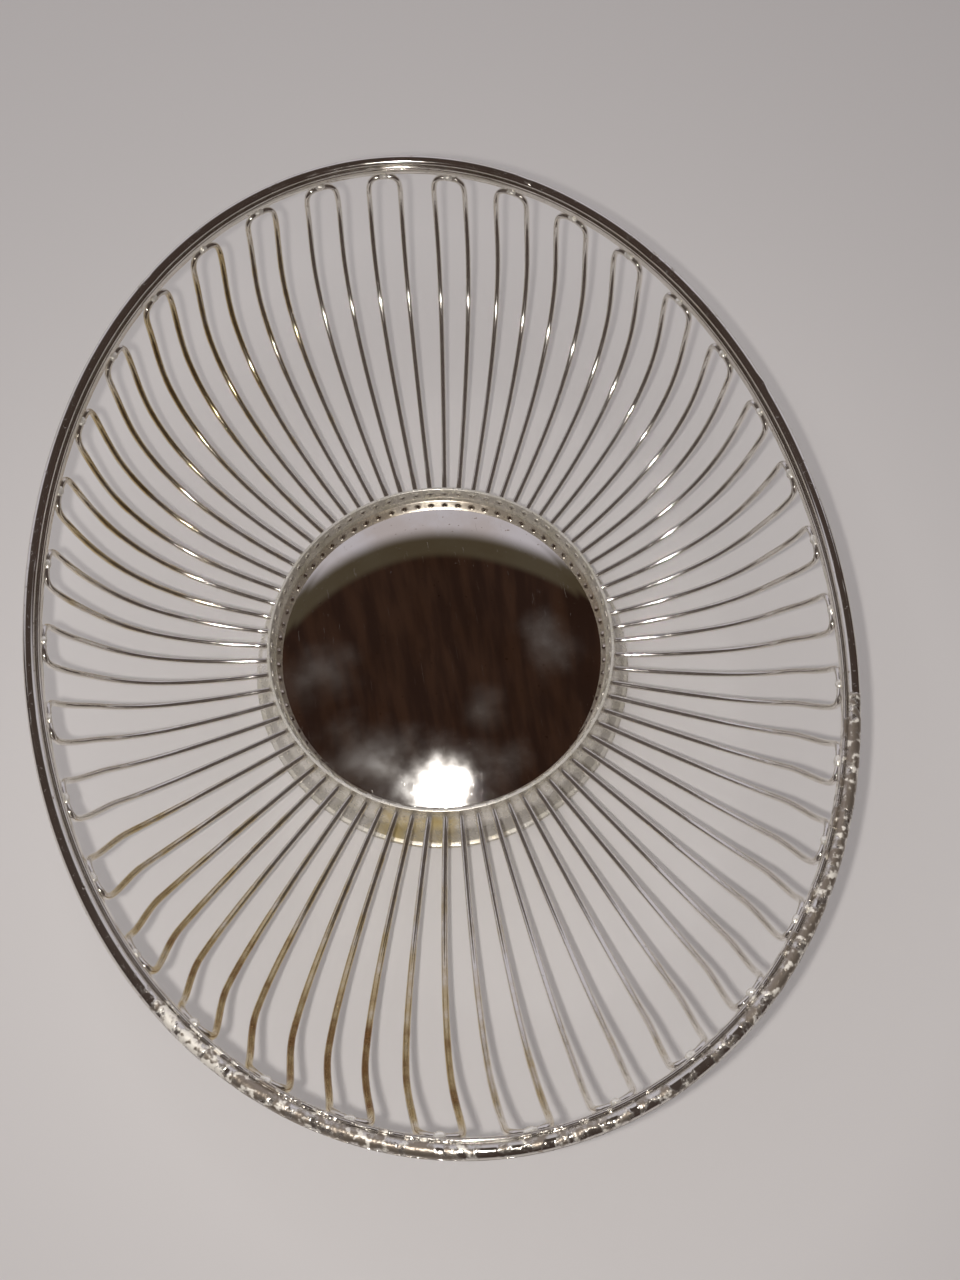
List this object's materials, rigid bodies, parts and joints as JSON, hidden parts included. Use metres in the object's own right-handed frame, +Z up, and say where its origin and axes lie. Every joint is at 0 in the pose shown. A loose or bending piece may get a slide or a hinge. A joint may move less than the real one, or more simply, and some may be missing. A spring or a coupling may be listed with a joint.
{
  "type": "wire basket",
  "caption": "Oval silver-plated wire basket: hairpin wires flare from a drilled collar around a low mirror-polished dome on a low round foot up to a moulded, saddle-curved rim.",
  "frame": {"origin": "middle of the foot ring's flat underside, on the surface the basket stands on", "axes": "+Z up, +Y along the oval's length, +X across it"},
  "size_m": [0.2084, 0.266, 0.0726],
  "materials": {
    "silver_plate": "worn and lightly tarnished silver plate",
    "silver_wire": "silver-plated wire with golden brown tarnish",
    "dome_silver": "mirror polish with fine scratches and cloudy tarnish",
    "solder": "dull soft solder"
  },
  "bodies": {
    "root": {"hairpin_01": "silver_wire", "hairpin_02": "silver_wire", "hairpin_03": "silver_wire", "hairpin_04": "silver_wire", "hairpin_05": "silver_wire", "hairpin_06": "silver_wire", "hairpin_07": "silver_wire", "hairpin_08": "silver_wire", "hairpin_09": "silver_wire", "hairpin_10": "silver_wire", "hairpin_11": "silver_wire", "hairpin_12": "silver_wire", "hairpin_13": "silver_wire", "hairpin_14": "silver_wire", "hairpin_15": "silver_wire", "hairpin_16": "silver_wire", "hairpin_17": "silver_wire", "hairpin_18": "silver_wire", "hairpin_19": "silver_wire", "hairpin_20": "silver_wire", "hairpin_21": "silver_wire", "hairpin_22": "silver_wire", "hairpin_23": "silver_wire", "hairpin_24": "silver_wire", "hairpin_25": "silver_wire", "hairpin_26": "silver_wire", "hairpin_27": "silver_wire", "hairpin_28": "silver_wire", "hairpin_29": "silver_wire", "hairpin_30": "silver_wire", "hairpin_31": "silver_wire", "hairpin_32": "silver_wire", "hairpin_33": "silver_wire", "hairpin_34": "silver_wire", "hairpin_35": "silver_wire", "hairpin_36": "silver_wire", "rim_strip": "silver_plate", "rim_moulding": "silver_plate", "rim_solder": "solder", "collar_band": "silver_plate", "wire_end_solder": "solder", "dome_plate": "dome_silver", "foot_skirt": "silver_plate", "foot_ring": "silver_plate"}
  },
  "joints": []
}
